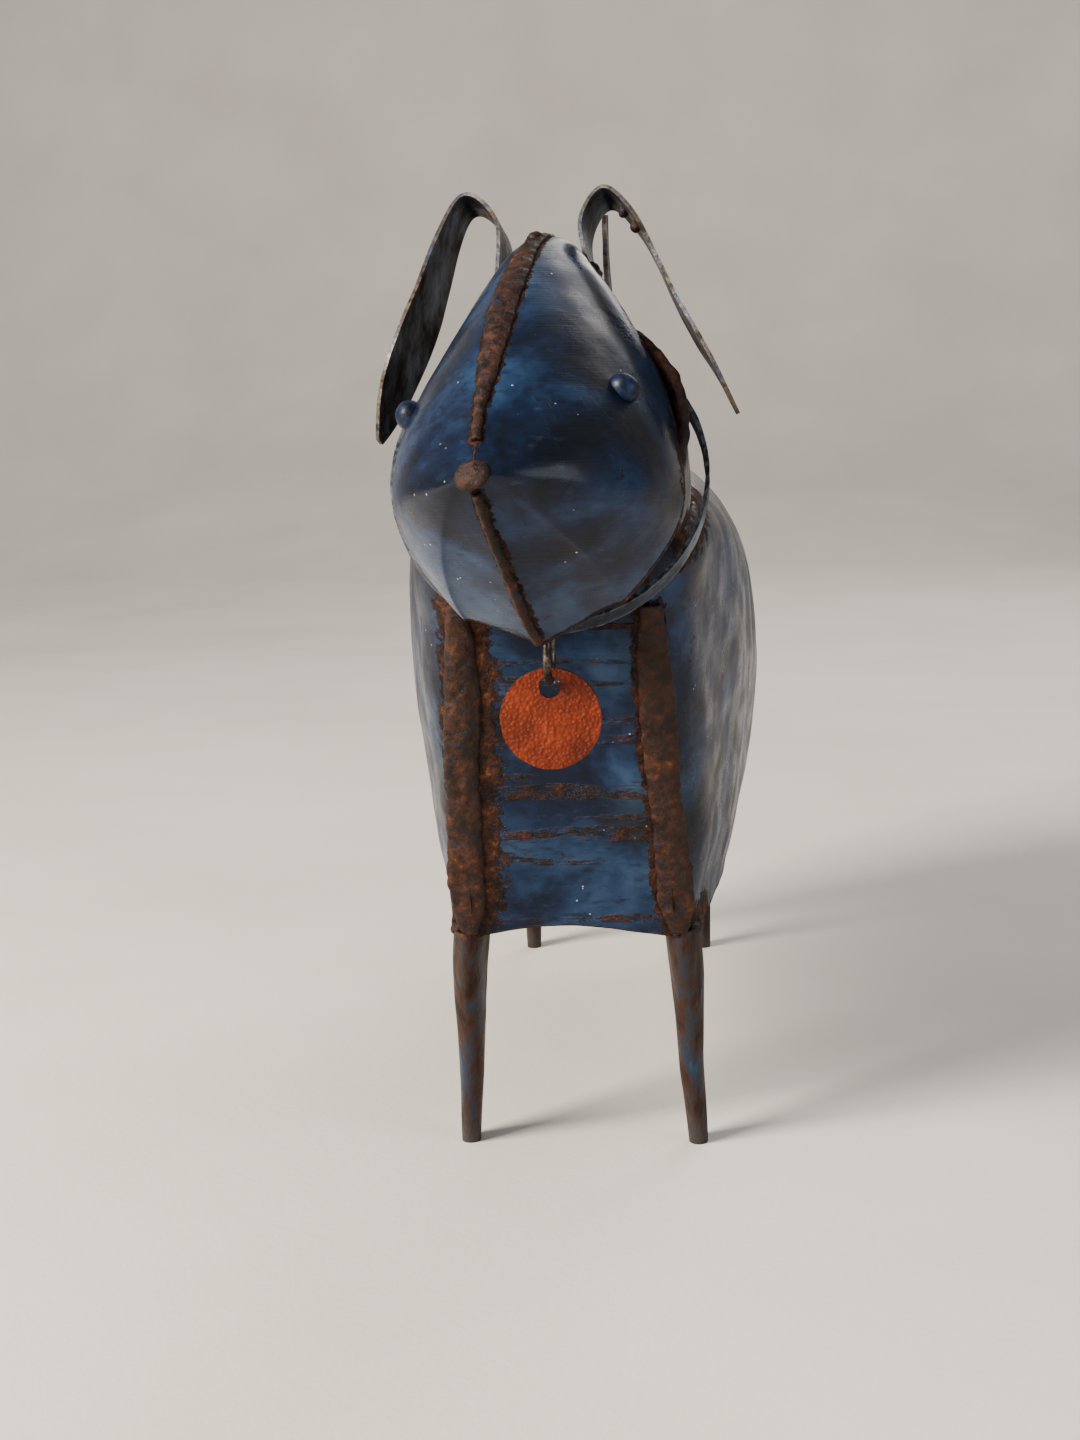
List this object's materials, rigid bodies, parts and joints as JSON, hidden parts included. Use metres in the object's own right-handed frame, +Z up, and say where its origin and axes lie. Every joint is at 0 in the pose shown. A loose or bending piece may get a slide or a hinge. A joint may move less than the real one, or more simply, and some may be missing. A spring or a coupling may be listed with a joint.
{
  "type": "dog figurine",
  "caption": "Small standing dog welded from bent sheet steel, with drooping strip ears, a curved tail, and a loose collar with a ring and a round tag.",
  "frame": {"origin": "bottom centre of the figurine's box, on the ground under the belly", "axes": "+Z up, the dog faces -Y, its own left side is +X"},
  "size_m": [0.0544, 0.2026, 0.147],
  "materials": {
    "blue_paint": "semi-gloss steel-blue paint, worn and scratched, with rust bands beside the welds",
    "leg_steel": "thin blue-grey paint worn through to rust brown",
    "rusty_weld": "lumpy weld bead, rust brown with tan scale",
    "eye_paint": "navy paint over a round drop",
    "dark_steel": "dark sheet steel, blue-grey with brown oxide",
    "collar_steel": "slate blue-grey band with brown spots",
    "ring_steel": "dark bare wire",
    "tag_orange": "orange-brown, finely pebbled, dark chipped rim"
  },
  "bodies": {
    "figure": {"side_right": "blue_paint", "side_left": "blue_paint", "chest_panel": "blue_paint", "rump_panel": "blue_paint", "spine_weld": "rusty_weld", "chest_weld_right": "rusty_weld", "rump_weld_right": "rusty_weld", "chest_weld_left": "rusty_weld", "rump_weld_left": "rusty_weld", "neck_weld": "rusty_weld", "head_right": "blue_paint", "head_left": "blue_paint", "head_back": "blue_paint", "head_seam_weld": "rusty_weld", "keel_weld": "rusty_weld", "head_weld": "rusty_weld", "neck_tube": "blue_paint", "eye_right": "eye_paint", "eye_left": "eye_paint", "crown_lump": "rusty_weld", "nose_weld": "rusty_weld", "ear_right": "dark_steel", "ear_weld_right": "rusty_weld", "ear_left": "dark_steel", "ear_weld_left": "rusty_weld", "ear_drip_upper": "rusty_weld", "ear_drip_lower": "rusty_weld", "leg_front_right": "leg_steel", "leg_weld_front_right": "rusty_weld", "leg_rear_right": "leg_steel", "leg_weld_rear_right": "rusty_weld", "leg_front_left": "leg_steel", "leg_weld_front_left": "rusty_weld", "leg_rear_left": "leg_steel", "leg_weld_rear_left": "rusty_weld", "tail": "dark_steel", "tail_weld": "rusty_weld"},
    "collar": {"collar": "collar_steel", "collar_tack": "rusty_weld"},
    "tag_ring": {"tag_ring": "ring_steel"},
    "tag": {"tag": "tag_orange"}
  },
  "joints": [
    {"name": "collar_turn", "type": "hinge", "parent": "figure", "child": "collar", "pos_m": [0, -0.06583, 0.09795], "axis": [0, -0.8988, 0.4384], "range_deg": [-12, 12]},
    {"name": "ring_swing", "type": "hinge", "parent": "collar", "child": "tag_ring", "pos_m": [0, -0.07301, 0.07975], "axis": [1, 0, 0], "range_deg": [-3, 25]},
    {"name": "tag_swing", "type": "hinge", "parent": "tag_ring", "child": "tag", "pos_m": [0, -0.07333, 0.07382], "axis": [0, 1, 0], "range_deg": [-35, 35]}
  ]
}
